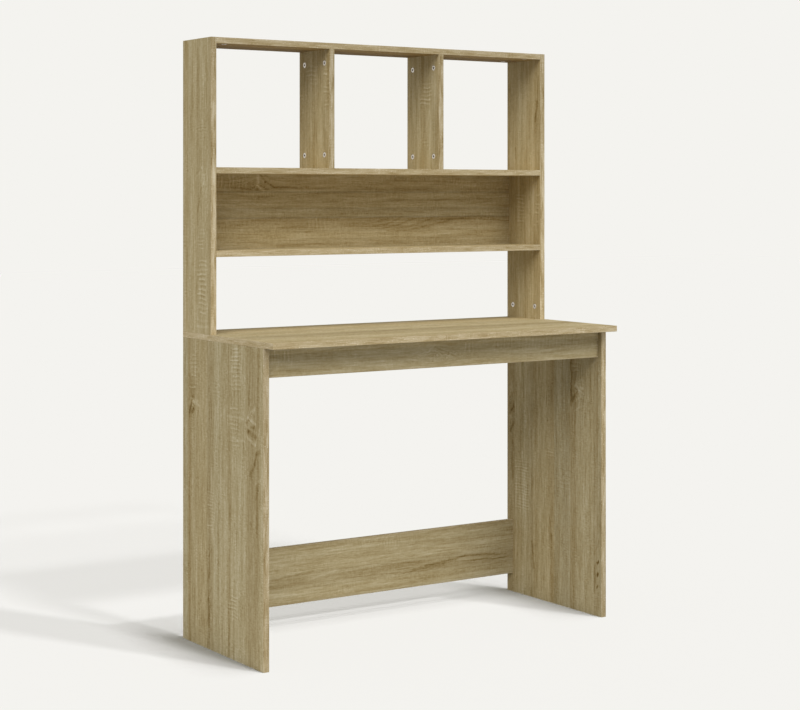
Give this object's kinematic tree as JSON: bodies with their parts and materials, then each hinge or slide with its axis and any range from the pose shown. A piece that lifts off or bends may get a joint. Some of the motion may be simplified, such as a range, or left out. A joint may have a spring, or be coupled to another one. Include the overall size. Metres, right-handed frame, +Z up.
{
  "type": "student desk with hutch",
  "caption": "Flat-pack desk on panel legs with a front rail and rear stretcher, under a shallow hutch with open cubbies above a compartment that has a back.",
  "frame": {"origin": "on the floor, under the middle of the desktop", "axes": "+Z up, +Y from the front, where the user sits, to the back, +X to the user's right"},
  "size_m": [1.02, 0.45, 1.48],
  "materials": {
    "oak_print_board": "chipboard faced with a satin oak print, grey-beige",
    "oak_edge_band": "satin oak print strip",
    "cam_zinc": "die-cast zinc, dull",
    "bolt_steel": "zinc-plated steel",
    "dowel_beech": "raw beech"
  },
  "bodies": {
    "root": {"apron_dowels": "dowel_beech", "desktop": "oak_print_board", "desktop_edge_bands": "oak_edge_band", "front_apron": "oak_print_board", "front_apron_edge_bands": "oak_edge_band", "hutch_back_panel": "oak_print_board", "hutch_side_cam_bolts": "bolt_steel", "hutch_side_cams": "cam_zinc", "hutch_side_dowels": "dowel_beech", "hutch_top": "oak_print_board", "hutch_top_cam_bolts": "bolt_steel", "hutch_top_cams": "cam_zinc", "hutch_top_edge_bands": "oak_edge_band", "left_divider": "oak_print_board", "left_divider_cam_bolts": "bolt_steel", "left_divider_cams": "cam_zinc", "left_divider_edge_bands": "oak_edge_band", "left_hutch_side": "oak_print_board", "left_hutch_side_edge_bands": "oak_edge_band", "left_leg_panel": "oak_print_board", "left_leg_panel_edge_bands": "oak_edge_band", "leg_cam_bolts": "bolt_steel", "leg_cams": "cam_zinc", "leg_dowels": "dowel_beech", "lower_shelf": "oak_print_board", "lower_shelf_dowels": "dowel_beech", "lower_shelf_edge_bands": "oak_edge_band", "rear_stretcher": "oak_print_board", "rear_stretcher_edge_bands": "oak_edge_band", "right_divider": "oak_print_board", "right_divider_cam_bolts": "bolt_steel", "right_divider_cams": "cam_zinc", "right_divider_edge_bands": "oak_edge_band", "right_hutch_side": "oak_print_board", "right_hutch_side_edge_bands": "oak_edge_band", "right_leg_panel": "oak_print_board", "right_leg_panel_edge_bands": "oak_edge_band", "stretcher_cam_bolts": "bolt_steel", "stretcher_cams": "cam_zinc", "stretcher_dowels": "dowel_beech", "upper_shelf": "oak_print_board", "upper_shelf_cam_bolts": "bolt_steel", "upper_shelf_cams": "cam_zinc", "upper_shelf_edge_bands": "oak_edge_band"}
  },
  "joints": []
}
